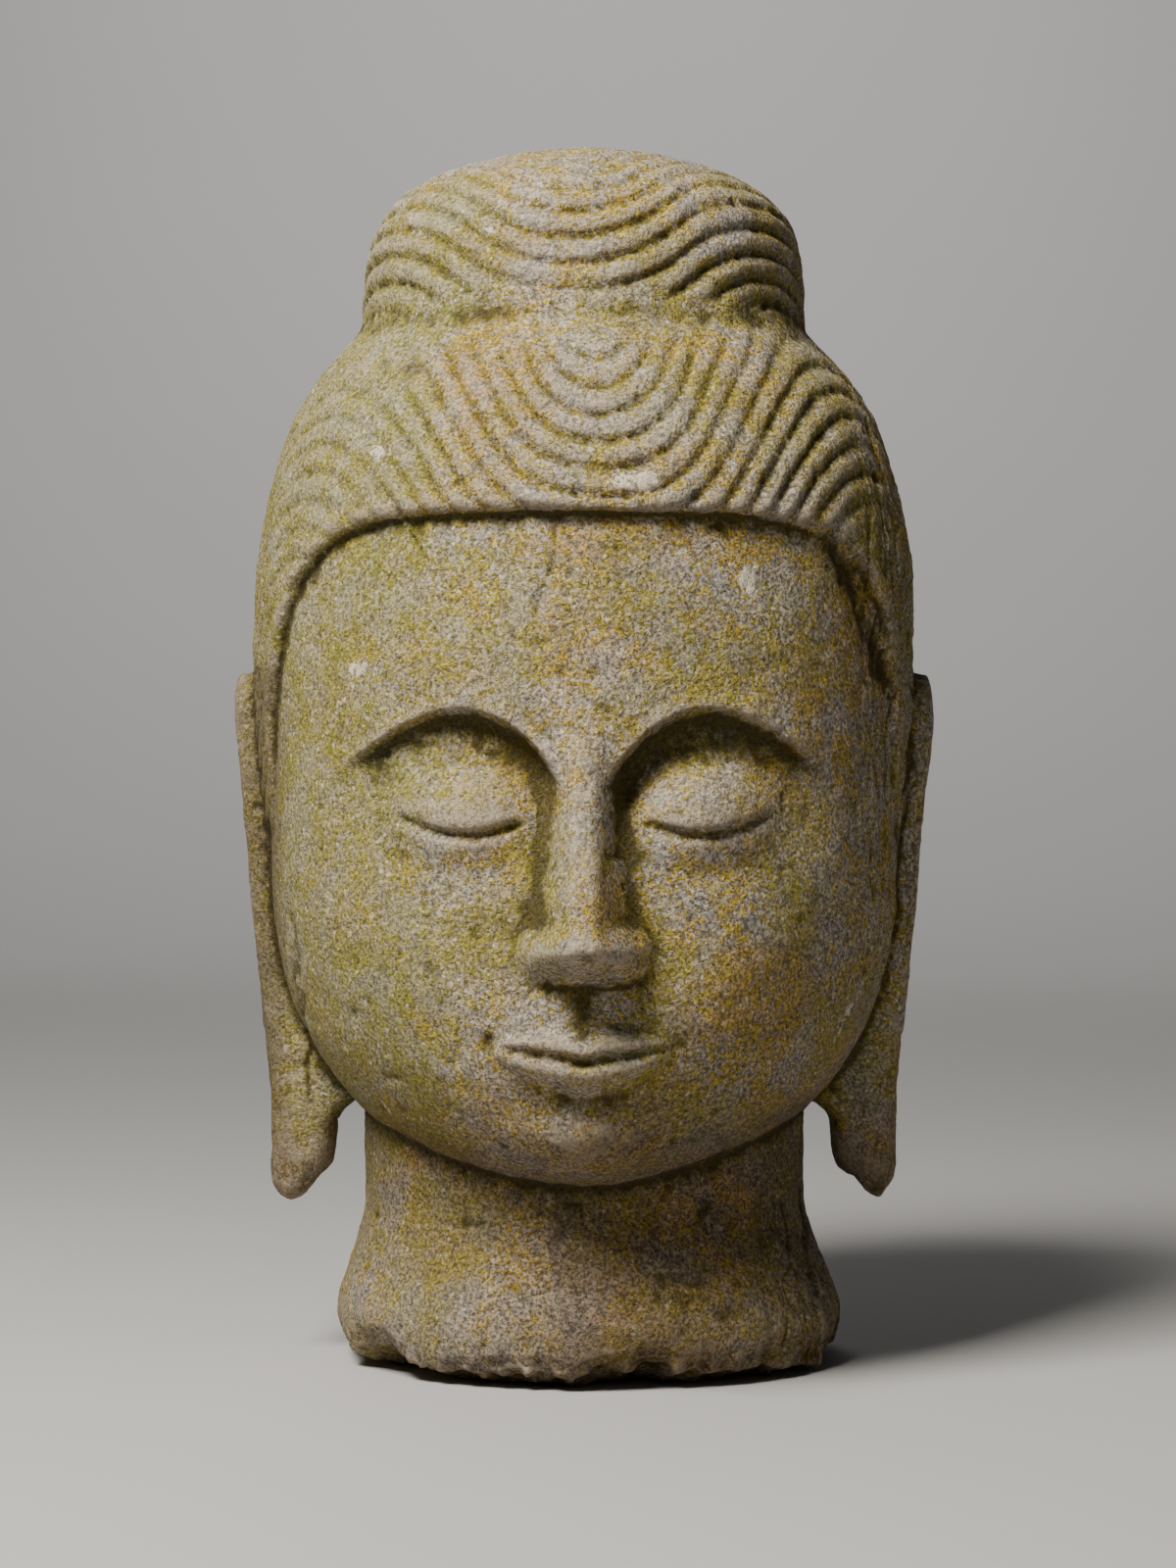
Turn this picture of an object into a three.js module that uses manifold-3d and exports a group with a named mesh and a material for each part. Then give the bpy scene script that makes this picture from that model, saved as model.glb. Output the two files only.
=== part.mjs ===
// A carved stone Buddha head on its broken neck, about one and a half times life size.
//
// The head is one block of stone: a long oval face under a cap of hair in carved waves, a round topknot on
// the crown, hanging ears and a short neck that ends in a chipped break, on which the head stands.
// Units are millimetres. The origin is the middle of the underside, +Z is up and the face looks along -Y.

import * as THREE from "three";
import { mergeVertices } from "three/addons/utils/BufferGeometryUtils.js";
import Module from "manifold-3d";

const wasm = await Module();
wasm.setup();

// ---- Driving dimensions -------------------------------------------------------------------------------

const TOTAL_HEIGHT = 480;

// Heights of the face, in three equal parts from hairline to brow, nose base and chin.
const HAIRLINE = 328;
const CHIN = 72;
const THIRD = (HAIRLINE - CHIN) / 3;
const BROW = HAIRLINE - THIRD;
const NOSE_BASE = CHIN + THIRD;
const NOSE_TIP = NOSE_BASE + 12;
const EYE_LINE = BROW - THIRD / 3;
const MOUTH_LINE = NOSE_BASE - THIRD / 3;

// The face is five eyes wide before the cheeks turn back to the ears, and the mouth one and a half.
const EYE_WIDTH = 46;
const EYE_MIDDLE = EYE_WIDTH;
const FACE_HALF_WIDTH = 2.5 * EYE_WIDTH + 9;
const FACE_DEPTH = 122;
const BACK_DEPTH = 80;
const FACE_WIDEST = 205;
const MOUTH_HALF_WIDTH = 0.75 * EYE_WIDTH;
const NOSE_REACH = 30;

const HAIR_HALF_WIDTH = 131.6;
const HAIR_HALF_DEPTH = 134;
const HAIR_MIDDLE_Y = 10;
const HAIR_WIDEST = 280;
const HAIR_TOP = 433;
const TEMPLE_LINE = 205;
const TEMPLE_TURN = 1.26;
const NAPE_LINE = 112;

const TOPKNOT_RADIUS = 89;
const TOPKNOT_BASE = 402;
const TOPKNOT_MIDDLE_Y = 6;

const NECK_RADIUS = 87;
const NECK_FOOT_RADIUS = 100;
const NECK_MIDDLE_Y = 4;
const NECK_LEAN = 2;

const EAR_TOP = 272;
const LOBE_BOTTOM = 62;
const LOBE_POINT_X = 117;
const EAR_OUT_TOP = 141;
const EAR_OUT_LOBE = 125;
const EAR_MIDDLE_Y = 14;

// Carved locks of hair: the depth of the cut between two, the height of a lock, and the waves that the locks
// follow. Troughs and crests are heights on the dome, and lengths up the outline on the topknot.
const CUT = 2.6;
const HAIR_WAVES = { count: 3, middle: 0.055, trough: 418, crest: 250, radius: 174, lock: 10.8 };
const TOPKNOT_WAVES = { count: 3, middle: -0.05, trough: 146, crest: -110, radius: 122, lock: 10.4 };

// ---- Small helpers --------------------------------------------------------------------------------------

const { clamp, euclideanModulo, lerp, smoothstep } = THREE.MathUtils;
const hill = (distance) => Math.exp(-distance * distance);

// A superellipse's half-width at a share of its height, 1 at the middle and 0 at the end.
const rounded = (share, power) => (1 - clamp(share, 0, 1) ** power) ** (1 / power);

// The cosine or sine of an angle, raised to a power that squares the section off, with its sign kept.
const squared = (value, power) => Math.sign(value) * Math.abs(value) ** (2 / power);

// A closed form: a sphere of columns by rows whose points are moved to where place says.
// turn is the angle about +Z, 0 at the front and positive towards +X, and row counts up from the lower pole.
function form(columns, rows, place) {
  const sphere = new THREE.SphereGeometry(1, columns, rows);
  sphere.deleteAttribute("normal");
  sphere.deleteAttribute("uv");
  sphere.rotateX(Math.PI / 2);
  const geometry = mergeVertices(sphere, 1e-5);
  const position = geometry.getAttribute("position");
  for (let i = 0; i < position.count; i++) {
    const turn = Math.atan2(position.getX(i), -position.getY(i));
    const row = Math.round((Math.acos(clamp(-position.getZ(i), -1, 1)) / Math.PI) * rows);
    position.setXYZ(i, ...place(turn, row));
  }
  return geometry;
}

function solid(geometry) {
  return new wasm.Manifold(
    new wasm.Mesh({
      numProp: 3,
      vertProperties: geometry.getAttribute("position").array,
      triVerts: new Uint32Array(geometry.getIndex().array),
    }),
  );
}

function geometryOf(manifold) {
  const mesh = manifold.getMesh();
  const geometry = new THREE.BufferGeometry();
  geometry.setAttribute("position", new THREE.BufferAttribute(mesh.vertProperties, 3));
  geometry.setIndex(new THREE.BufferAttribute(mesh.triVerts, 1));
  geometry.computeVertexNormals();
  return geometry;
}

// Draws the columns of a form together towards the front, where the carving is.
const crowd = (turn, share) => turn - share * Math.sin(turn);

// Evenly spaced heights from one value to the next, for each [from, to, steps] in turn.
function heights(...bands) {
  const list = [bands[0][0]];
  for (const [from, to, steps] of bands) {
    for (let i = 1; i <= steps; i++) list.push(lerp(from, to, i / steps));
  }
  return list;
}

// ---- The face -------------------------------------------------------------------------------------------
// Each function gives how far the stone stands out, towards -Y, at x from the middle and at a height z.

function browLine(x) {
  const share = clamp((x - 7) / 86, 0, 1);
  return BROW - 18 + 8 * share + 27 * Math.sin(Math.PI * share ** 0.8);
}

function lidLine(x) {
  const share = (x - EYE_MIDDLE + EYE_WIDTH / 2) / EYE_WIDTH;
  return EYE_LINE - 5.5 * Math.sin(Math.PI * clamp(share, 0, 1)) + 3 * clamp(share, -0.2, 1.2);
}

function lipLine(x) {
  return MOUTH_LINE - 1 + 4 * (x / MOUTH_HALF_WIDTH) ** 2 - 1.4 * hill(x / 6);
}

function noseHalfWidth(z) {
  return lerp(12, 7, smoothstep(z, NOSE_TIP, BROW - 12));
}

function nose(x, z) {
  const rise = NOSE_REACH * clamp((BROW + 4 - z) / (BROW + 4 - NOSE_TIP), 0, 1);
  const under = smoothstep(z, NOSE_BASE - 3, NOSE_BASE + 8);
  const across = 1 - smoothstep(x / noseHalfWidth(z), 0.2, 1.75);
  const ball = 3 * hill(x / 11) * hill((z - NOSE_TIP) / 10);
  const wing = 14 * Math.exp(-(((x - 15.5) / 8) ** 4) - Math.abs((z - NOSE_TIP + 4) / 10) ** 3);
  const root = 3.5 * hill(x / 13) * hill((z - BROW - 2) / 15);
  return (rise * across + ball + wing * (1 - 0.6 * across)) * under + root;
}

function socket(x, z) {
  const edge = browLine(x);
  const depth = lerp(12, 5, clamp((x - 10) / 80, 0, 1));
  const outer = 1 - smoothstep(x, 74, 99);
  const side = smoothstep(x, noseHalfWidth(z) - 1, noseHalfWidth(z) + 10) * outer;
  const ridge = 1.5 * smoothstep(x, 4, 14) * outer * hill((z - edge - 1) / 4);
  return ridge - depth * side * smoothstep(edge - z, -1, 4) * smoothstep(z, EYE_LINE - 30, edge - 6);
}

function eye(x, z) {
  const reach = ((x - EYE_MIDDLE) / 33) ** 2 + ((z - EYE_LINE - 3) / 23) ** 2;
  const ball = 10 * Math.max(0, 1 - reach) ** 1.5;
  const width = smoothstep(1 - Math.abs(x - EYE_MIDDLE) / (EYE_WIDTH / 2 + 2), 0, 0.25);
  const below = lidLine(x) - z;
  const lid = 1.6 * smoothstep(-below, -0.6, 0.6) * Math.max(0, 1 - reach);
  const slit = -2.4 * hill((below - 1.6) / 1.8) * width;
  return ball + lid + slit;
}

function mouth(x, z) {
  const share = clamp(1 - (x / MOUTH_HALF_WIDTH) ** 2, 0, 1);
  const above = z - lipLine(x);
  const upper = above / (11 * share ** 0.8 - 2.4 * hill(x / 5) + 0.01);
  const lower = -above / (13 * share ** 0.7 + 0.01);
  const muzzle = 4 * hill(x / 38) * hill((z - MOUTH_LINE - 4) / 28);
  const lips = above > 0 ? 1 - clamp(upper, 0, 1) ** 2 : 1 - clamp(lower, 0, 1) ** 2.4;
  const slit = hill(above / 1.6) * share ** 0.3;
  const corner = hill((x - MOUTH_HALF_WIDTH - 1) / 5) * hill((above - 0.5) / 5);
  const groove = smoothstep(z, MOUTH_LINE + 9, MOUTH_LINE + 14) * smoothstep(NOSE_BASE - z, 0, 5);
  const philtrum = hill(x / 5) * groove;
  return muzzle + 5.2 * lips * share ** 0.5 - 3 * slit - 2.8 * corner - 1.6 * philtrum;
}

function chinAndCheek(x, z) {
  const chin = 5 * hill(x / 24) * hill((z - CHIN - 19) / 14);
  const crease = -3 * hill(x / 26) * hill((z - CHIN - 38) / 6.5);
  const cheek = 4 * hill((x - 58) / 32) * hill((z - NOSE_BASE - 2) / 34);
  return chin + crease + cheek;
}

function faceRelief(x, z) {
  const side = Math.abs(x);
  return nose(side, z) + socket(side, z) + eye(side, z) + mouth(side, z) + chinAndCheek(side, z);
}

// Moves a level row of points so that it runs along the brow, the eyelid or the lips where it is near one.
function carvedRow(x, z) {
  const side = Math.abs(x);
  const brow = (browLine(side) - BROW) * hill((z - BROW) / 24) * (1 - smoothstep(side, 80, 104));
  const eyeWide = smoothstep(side, 14, 22) * (1 - smoothstep(side, 66, 80));
  const lid = (lidLine(side) - EYE_LINE) * hill((z - EYE_LINE) / 8) * eyeWide;
  const lip = (lipLine(side) - MOUTH_LINE) * hill((z - MOUTH_LINE) / 9) * (1 - smoothstep(side, 34, 48));
  return z + brow + lid + lip;
}

// The skull under the face: an oval that narrows to the chin, with a steep front.
function skullPoint(turn, z) {
  const down = (FACE_WIDEST - z) / (FACE_WIDEST - CHIN);
  const up = (z - FACE_WIDEST) / 240;
  const half = FACE_HALF_WIDTH * (z < FACE_WIDEST ? rounded(down, 2.4) : rounded(up, 3.4));
  const front = FACE_DEPTH * (z < FACE_WIDEST ? rounded(down, 4.5) : rounded(up, 2.6));
  const depth = Math.cos(turn) > 0 ? front : Math.min(front, BACK_DEPTH);
  return [half * Math.sin(turn), -depth * Math.cos(turn), z];
}

function face() {
  const top = HAIRLINE + 20;
  const rows = heights(
    [CHIN, MOUTH_LINE - 17, 6],
    [MOUTH_LINE - 17, MOUTH_LINE + 13, 9],
    [MOUTH_LINE + 13, NOSE_BASE + 14, 7],
    [NOSE_BASE + 14, EYE_LINE - 12, 4],
    [EYE_LINE - 12, EYE_LINE - 4, 2],
    [EYE_LINE - 4, EYE_LINE + 1, 2],
    [EYE_LINE + 1, EYE_LINE + 10, 3],
    [EYE_LINE + 10, BROW + 16, 7],
    [BROW + 16, top, 4],
  );
  return form(42, rows.length, (turn, row) => {
    if (row === rows.length) return [0, 0, top + 5];
    const about = crowd(turn, 0.65);
    const [x, y, z] = skullPoint(about, rows[row]);
    if (y > 0 || row === 0) return [x, y, z];
    const level = carvedRow(x, z);
    const [, front] = skullPoint(about, level);
    return [x, front - faceRelief(x, level) * smoothstep(-y, 0, 40), level];
  });
}

// ---- Hair -----------------------------------------------------------------------------------------------

// The lower edge of the hair round the head: a low arch over the forehead, the temples, and the nape.
function hairEdge(turn) {
  const side = Math.abs(turn) / TEMPLE_TURN;
  if (side < 1) return TEMPLE_LINE + (HAIRLINE - TEMPLE_LINE) * Math.sqrt(1 - side ** 5);
  return lerp(TEMPLE_LINE, NAPE_LINE, smoothstep(side, 1.25, 1.6));
}

// The level of a lock's edge at a turn. Locks lie in arcs about the middle of each trough, and run on into
// arcs about the middle of the crest beside it; away is the edge's distance below the trough's middle.
function lockLevel(turn, away, waves) {
  const half = Math.PI / waves.count;
  const around = euclideanModulo(turn - waves.middle, 2 * half);
  const across = waves.radius * Math.min(around, 2 * half - around);
  const width = waves.radius * half;
  const span = Math.hypot(width, waves.trough - waves.crest);
  if (away > span || across < (width * away) / span) return waves.trough - Math.sqrt(away ** 2 - across ** 2);
  return waves.crest + Math.sqrt((span - away) ** 2 - (width - across) ** 2);
}

// A level that would pass the limit slows down over the last reach before it, and never gets there.
function slowed(level, limit, reach) {
  const left = (limit - level) / reach;
  return left > 1 ? level : limit - reach * Math.exp(left - 1);
}

// A point on the dome of the hair, which the cuts between the locks go below.
function domePoint(turn, z, cut) {
  const above = z > HAIR_WIDEST;
  const share = above ? (z - HAIR_WIDEST) / (HAIR_TOP - HAIR_WIDEST) : (HAIR_WIDEST - z) / 215;
  const size = rounded(share, above ? 2.5 : 2.2);
  const x = (HAIR_HALF_WIDTH * size - cut) * Math.sin(turn);
  return [x, HAIR_MIDDLE_Y - (HAIR_HALF_DEPTH * size - cut) * Math.cos(turn), z];
}

// The cap of hair: every second row is a cut between two locks, and all the rows follow the waves. Locks
// keep their width over the forehead and temples, and grow wider from there down to the nape.
function hairWaves() {
  const fine = 28;
  const widening = 16;
  const rows = fine + widening;
  const lowest = NAPE_LINE - 8;
  return form(46, rows, (turn, row) => {
    if (row === 0) return [0, HAIR_MIDDLE_Y, lowest];
    if (row === rows) return [0, HAIR_MIDDLE_Y, HAIR_TOP];
    const about = crowd(turn, 0.42);
    const below = rows - 1 - row;
    const away = (Math.min(below, fine - 1) - 1) * (HAIR_WAVES.lock / 2);
    const level = slowed(lockLevel(about, away, HAIR_WAVES), HAIR_TOP - 7, 26);
    const z = lerp(lowest, level, Math.min(1, (row - 1) / (widening - 1)));
    return domePoint(about, z, below % 2 ? CUT : 0);
  });
}

// All that lies above the hair's lower edge.
function aboveHairEdge() {
  const reach = [0, 60, 220, 220, 0];
  return form(52, 4, (turn, row) => {
    const edge = row === 0 ? TEMPLE_LINE : hairEdge(turn);
    const z = row < 3 ? edge : TOTAL_HEIGHT;
    return [reach[row] * Math.sin(turn), HAIR_MIDDLE_Y - reach[row] * Math.cos(turn), z];
  });
}

// The topknot's outline from its base, up the steep side and over to the crown, as radius and height.
function topknotOutline() {
  const points = [];
  for (let step = 0; step <= 40; step++) {
    const angle = (Math.PI / 2) * (step / 40);
    const climb = squared(Math.sin(angle), 5.4);
    const radius = TOPKNOT_RADIUS * squared(Math.cos(angle), 1.4) * (1 - 0.045 * climb);
    points.push(new THREE.Vector2(radius, lerp(TOPKNOT_BASE, TOTAL_HEIGHT, climb)));
  }
  return new THREE.SplineCurve(points);
}

function topknot() {
  const outline = topknotOutline();
  const length = outline.getLength();
  const rows = 34;
  return form(32, rows, (turn, row) => {
    if (row === 0) return [0, TOPKNOT_MIDDLE_Y, TOPKNOT_BASE - 12];
    if (row === rows) return [0, TOPKNOT_MIDDLE_Y, TOTAL_HEIGHT];
    const about = crowd(turn, 0.4);
    const below = rows - row;
    const level = slowed(lockLevel(about, below * (TOPKNOT_WAVES.lock / 2), TOPKNOT_WAVES), length, 14);
    const point = outline.getPointAt(-slowed(-level, 0, 8) / length);
    const radius = point.x - (below % 2 ? 0 : CUT * Math.min(1, point.x / 30));
    const z = row === 1 ? TOPKNOT_BASE - 10 : point.y;
    return [radius * Math.sin(about), TOPKNOT_MIDDLE_Y - radius * Math.cos(about), z];
  });
}

// ---- Neck and ears --------------------------------------------------------------------------------------

// How far the break's lower edge is chipped up from the underside: scallops between teeth, most towards -X.
function chips(turn) {
  const coarse = Math.abs(Math.sin(2.5 * turn + 0.9));
  const fine = Math.abs(Math.sin(5.5 * turn + 0.4));
  return 1 + 6 * coarse * fine + fine + 1.6 * (1 - Math.sin(turn));
}

function neck() {
  const levels = [9, 18, 30, 46, 64, 130];
  const rows = levels.length + 4;
  return form(36, rows, (turn, row) => {
    if (row === 0) return [0, NECK_MIDDLE_Y, 0];
    if (row === rows) return [0, NECK_MIDDLE_Y, 165];
    const ring = (radius, z) => {
      const lean = NECK_LEAN * (1 - smoothstep(z, 14, 66));
      return [lean + radius * Math.sin(turn), NECK_MIDDLE_Y - 0.97 * radius * Math.cos(turn), z];
    };
    const chip = chips(turn);
    if (row === 1) return ring(0.5 * NECK_FOOT_RADIUS, 0);
    if (row === 2) return ring(NECK_FOOT_RADIUS - 5 - 1.8 * chip, 0);
    if (row === 3) return ring(NECK_FOOT_RADIUS - 1 - 0.5 * chip, chip);
    const z = levels[row - 4];
    const flare = (NECK_FOOT_RADIUS - NECK_RADIUS) * (1 - smoothstep(z, 14, 66));
    return ring(NECK_RADIUS + flare, z + chip * (1 - smoothstep(z, 0, 40)));
  });
}

// The outer face of the ear: a raised rim round a hollow at the top, and a full plain lobe.
function earRelief(across, z) {
  const up = smoothstep(z, 140, 180);
  const rim = 3 * hill((Math.abs(across) - 0.8) / 0.22) * up;
  const hollow = -9 * hill(across / 0.42) * hill((z - 218) / 30);
  const fold = 5 * hill((across + 0.22) / 0.17) * hill((z - 226) / 22);
  return rim + hollow + fold;
}

function ear() {
  const rows = 16;
  const middle = (EAR_TOP + LOBE_BOTTOM) / 2;
  const half = (EAR_TOP - LOBE_BOTTOM) / 2;
  return form(16, rows, (turn, row) => {
    const climb = -Math.cos((Math.PI * row) / rows);
    const z = middle + half * Math.sign(climb) * Math.abs(climb) ** 0.85;
    const cap = rounded(Math.abs(z - middle) / half, 4.5);
    const width = (19 + 11 * smoothstep(z, 150, 235)) * cap;
    const out = lerp(EAR_OUT_LOBE, EAR_OUT_TOP, clamp((z - 105) / 150, 0, 1)) - 4 * (1 - cap);
    const inner = lerp(98, 80, smoothstep(z, 84, 112)) + 6 * (1 - cap);
    const about = turn - 0.35 * Math.sin(2 * turn);
    const across = -squared(Math.cos(about), 3.2);
    const outward = squared(Math.sin(about), 3.2);
    const relief = outward > 0 ? earRelief(across, z) * outward * cap : 0;
    const x = (out + inner) / 2 + ((out - inner) / 2) * outward + relief;
    const point = 0.85 * Math.abs(x - LOBE_POINT_X) * (1 - smoothstep(z, LOBE_BOTTOM, LOBE_BOTTOM + 50));
    return [x, EAR_MIDDLE_Y + 0.06 * (z - middle) + width * across, z + point];
  });
}

// ---- The head, joined as one solid ----------------------------------------------------------------------

const hair = solid(hairWaves()).intersect(solid(aboveHairEdge())).add(solid(topknot()));
const leftEar = solid(ear());
const rightEar = leftEar.mirror([1, 0, 0]);
const carved = solid(face()).add(solid(neck())).add(hair).add(leftEar).add(rightEar);

const stone = new THREE.MeshStandardMaterial({ color: 0x9a8f6e, roughness: 0.95, metalness: 0 });
const head = new THREE.Mesh(geometryOf(carved), stone);
head.name = "buddha_head";

const group = new THREE.Group();
group.add(head);

export default group;
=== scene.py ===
"""A weathered stone Buddha head, with its fine carving, the finish of its stone and a plain studio stage."""

import math

import bpy
import numpy as np
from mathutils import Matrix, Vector


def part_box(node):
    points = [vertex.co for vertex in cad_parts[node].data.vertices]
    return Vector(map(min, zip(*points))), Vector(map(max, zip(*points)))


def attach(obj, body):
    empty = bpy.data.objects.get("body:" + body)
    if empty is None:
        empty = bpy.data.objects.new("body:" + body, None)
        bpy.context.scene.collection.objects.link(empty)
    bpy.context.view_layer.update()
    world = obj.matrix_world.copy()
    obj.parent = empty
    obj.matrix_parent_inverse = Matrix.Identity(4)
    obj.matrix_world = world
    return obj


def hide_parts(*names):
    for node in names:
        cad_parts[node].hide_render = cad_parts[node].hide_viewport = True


bl_info = {
    "name": "Stone Buddha Head",
    "version": (1, 0, 0),
    "blender": (4, 5, 0),
    "location": "View3D > Sidebar > Stone Head",
    "description": "Carves a weathered stone Buddha head and sets it on a plain studio stage",
    "category": "Object",
}

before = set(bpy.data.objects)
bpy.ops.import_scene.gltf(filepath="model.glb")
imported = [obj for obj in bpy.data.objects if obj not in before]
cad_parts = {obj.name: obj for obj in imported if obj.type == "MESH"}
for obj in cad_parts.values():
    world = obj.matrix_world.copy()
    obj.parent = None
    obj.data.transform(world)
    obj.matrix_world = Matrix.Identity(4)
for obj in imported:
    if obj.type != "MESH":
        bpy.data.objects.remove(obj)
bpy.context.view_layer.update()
HEAD_LOW, HEAD_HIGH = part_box("buddha_head")

MM = 0.001

# The carving's own sizes, in millimetres, as the solid has them.
TOTAL_HEIGHT = HEAD_HIGH.z / MM
HAIRLINE = 328
CHIN = 72
THIRD = (HAIRLINE - CHIN) / 3
BROW = HAIRLINE - THIRD
NOSE_BASE = CHIN + THIRD
NOSE_TIP = NOSE_BASE + 12
EYE_LINE = BROW - THIRD / 3
MOUTH_LINE = NOSE_BASE - THIRD / 3
EYE_WIDTH = 46
EYE_MIDDLE = EYE_WIDTH
CHEEK_SIDE = 9
FACE_HALF_WIDTH = 2.5 * EYE_WIDTH + CHEEK_SIDE
FACE_DEPTH = 122
BACK_DEPTH = 80
FACE_WIDEST = 205
MOUTH_HALF_WIDTH = 0.75 * EYE_WIDTH
NOSE_REACH = 30
HAIR_HALF_WIDTH = 131.6
HAIR_HALF_DEPTH = 134
HAIR_MIDDLE_Y = 10
HAIR_WIDEST = 280
HAIR_TOP = 433
TEMPLE_LINE = 205
TEMPLE_TURN = 1.26
NAPE_LINE = 112
TOPKNOT_RADIUS = 89
TOPKNOT_BASE = 402
TOPKNOT_MIDDLE_Y = 6
NECK_RADIUS = 87
NECK_TOP = 130
NECK_POLE = 165
NECK_FOOT_RADIUS = 100
NECK_MIDDLE_Y = 4
NECK_LEAN = 2
EAR_TOP = 272
LOBE_BOTTOM = 62
LOBE_POINT_X = 117
EAR_OUT_TOP = 141
EAR_OUT_LOBE = 125
EAR_MIDDLE_Y = 14
HAIR_WAVES = {"count": 3, "middle": 0.055, "trough": 418, "crest": 250, "radius": 174, "lock": 10.8}
TOPKNOT_WAVES = {"count": 3, "middle": -0.05, "trough": 146, "crest": -110, "radius": 122, "lock": 10.4}


# ---- Small helpers --------------------------------------------------------------------------------------


def smoothstep(x, low, high):
    t = np.clip((x - low) / (high - low), 0, 1)
    return t * t * (3 - 2 * t)


def hill(distance):
    return np.exp(-distance * distance)


def rounded(share, power):
    return (1 - np.clip(share, 0, 1) ** power) ** (1 / power)


def squared(value, power):
    return np.sign(value) * np.abs(value) ** (2 / power)


def crowd(turn, share):
    return turn - share * np.sin(turn)


def mottle(points, size, seed):
    """Smooth noise from -1 to 1 at points in mm, with features of about size mm."""
    side = 32
    lattice = np.random.RandomState(seed).uniform(-1, 1, (side, side, side))
    scaled = points / np.asarray(size, float) + 7.3 * seed
    cell = np.floor(scaled).astype(int)
    t = scaled - cell
    t = t * t * (3 - 2 * t)
    total = 0
    for corner in np.ndindex(2, 2, 2):
        weight = np.prod(np.where(corner, t, 1 - t), axis=1)
        i, j, k = ((cell + corner) % side).T
        total = total + weight * lattice[i, j, k]
    return total


# ---- The face -------------------------------------------------------------------------------------------
# Each function gives how far the stone stands out, towards -Y, at x from the middle and at a height z.


def brow_line(x):
    share = np.clip((x - 7) / 86, 0, 1)
    return BROW - 18 + 8 * share + 27 * np.sin(np.pi * share**0.8)


def lid_line(x):
    share = (x - EYE_MIDDLE + EYE_WIDTH / 2) / EYE_WIDTH
    return EYE_LINE - 5.5 * np.sin(np.pi * np.clip(share, 0, 1)) + 3 * np.clip(share, -0.2, 1.2)


def lip_line(x):
    return MOUTH_LINE - 1 + 4 * (x / MOUTH_HALF_WIDTH) ** 2 - 1.4 * hill(x / 6)


def nose_half_width(z):
    return 12 - 5 * smoothstep(z, NOSE_TIP, BROW - 12)


def nose(x, z):
    down = np.clip((BROW + 4 - z) / (BROW + 4 - NOSE_TIP), 0, 1)
    rise = NOSE_REACH * down * (1 - 0.14 * smoothstep(down, 0.7, 1))
    under = np.sin(0.5 * np.pi * np.clip((z - NOSE_BASE + 4) / 15, 0, 1)) ** 0.9
    across = 1 - smoothstep(x / nose_half_width(z), 0.2, 1.75)
    ball = 3 * hill(x / 11) * hill((z - NOSE_TIP) / 10)
    wing = 12.5 * np.exp(-(np.abs((x - 14.5) / 8.8) ** 2.6) - np.abs((z - NOSE_TIP + 4.5) / 9.5) ** 2.4)
    root = 3.5 * hill(x / 13) * hill((z - BROW - 2) / 15)
    fold = -1.5 * hill((np.hypot(x - 15, (z - NOSE_TIP + 3) * 0.9) - 10.5) / 1.8) * smoothstep(x, 11, 17)
    nostril = -3 * hill((x - 9) / 4.5) * hill((z - NOSE_BASE - 1) / 3)
    return (rise * across + ball + wing * (1 - 0.6 * across)) * under + root + fold * under + nostril


def socket(x, z):
    edge = brow_line(x)
    depth = 12 - 7 * np.clip((x - 10) / 80, 0, 1)
    outer = 1 - smoothstep(x, 74, 99)
    side = smoothstep(x, nose_half_width(z) - 1, nose_half_width(z) + 10) * outer
    ridge = 1.5 * smoothstep(x, 4, 14) * outer * hill((z - edge - 1) / 4)
    under_brow = smoothstep(edge - z, -1, 4)
    over_cheek = smoothstep(z - edge + 6, EYE_LINE - 24 - edge, 0)
    return ridge - depth * side * under_brow * over_cheek


def eye(x, z):
    reach = ((x - EYE_MIDDLE) / 33) ** 2 + ((z - EYE_LINE - 3) / 23) ** 2
    inside = np.maximum(0, 1 - reach)
    width = smoothstep(1 - np.abs(x - EYE_MIDDLE) / (EYE_WIDTH / 2 + 2), 0, 0.25)
    below = lid_line(x) - z
    lid = 1.6 * smoothstep(-below, -0.6, 0.6) * inside
    slit = -3.3 * hill((below - 1.6) / 1.7) * width
    crease = -0.9 * hill((np.sqrt(reach) - 0.8) / 0.07) * smoothstep(-below, 4, 12)
    return 8.5 * inside**1.5 + lid + slit + crease


def mouth(x, z):
    share = np.clip(1 - (x / MOUTH_HALF_WIDTH) ** 2, 0, 1)
    above = z - lip_line(x)
    upper_lip = 12 * share**0.8 - 2.4 * hill(x / 5) + 0.01
    lower_lip = 15 * share**0.65 + 0.01
    upper = np.sin(np.pi * (0.25 + 0.75 * np.clip(above / upper_lip, 0, 1)))
    lower = np.sin(np.pi * (0.2 + 0.8 * np.clip(-above / lower_lip, 0, 1)))
    muzzle = 6.5 * hill(x / 40) * hill((z - MOUTH_LINE - 2) / 28)
    lips = np.where(above > 0, upper, lower)
    slit = hill(above / 1.6) * share**0.3
    corner = hill((x - MOUTH_HALF_WIDTH - 0.5) / 4) * hill((above - 0.5) / 3.5)
    groove = smoothstep(z, MOUTH_LINE + 9, MOUTH_LINE + 14) * smoothstep(NOSE_BASE - z, 0, 5)
    return muzzle + 6.4 * lips * share**0.4 - 3.0 * slit - 1.8 * corner - 1.8 * hill(x / 5) * groove


def chin_and_cheek(x, z):
    chin = 8.5 * hill(x / 26) * hill((z - CHIN - 19) / 16)
    crease = -3 * hill(x / 26) * hill((z - CHIN - 38) / 6.5)
    cheek = 4 * hill((x - 58) / 32) * hill((z - NOSE_BASE - 2) / 34)
    return chin + crease + cheek


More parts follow.
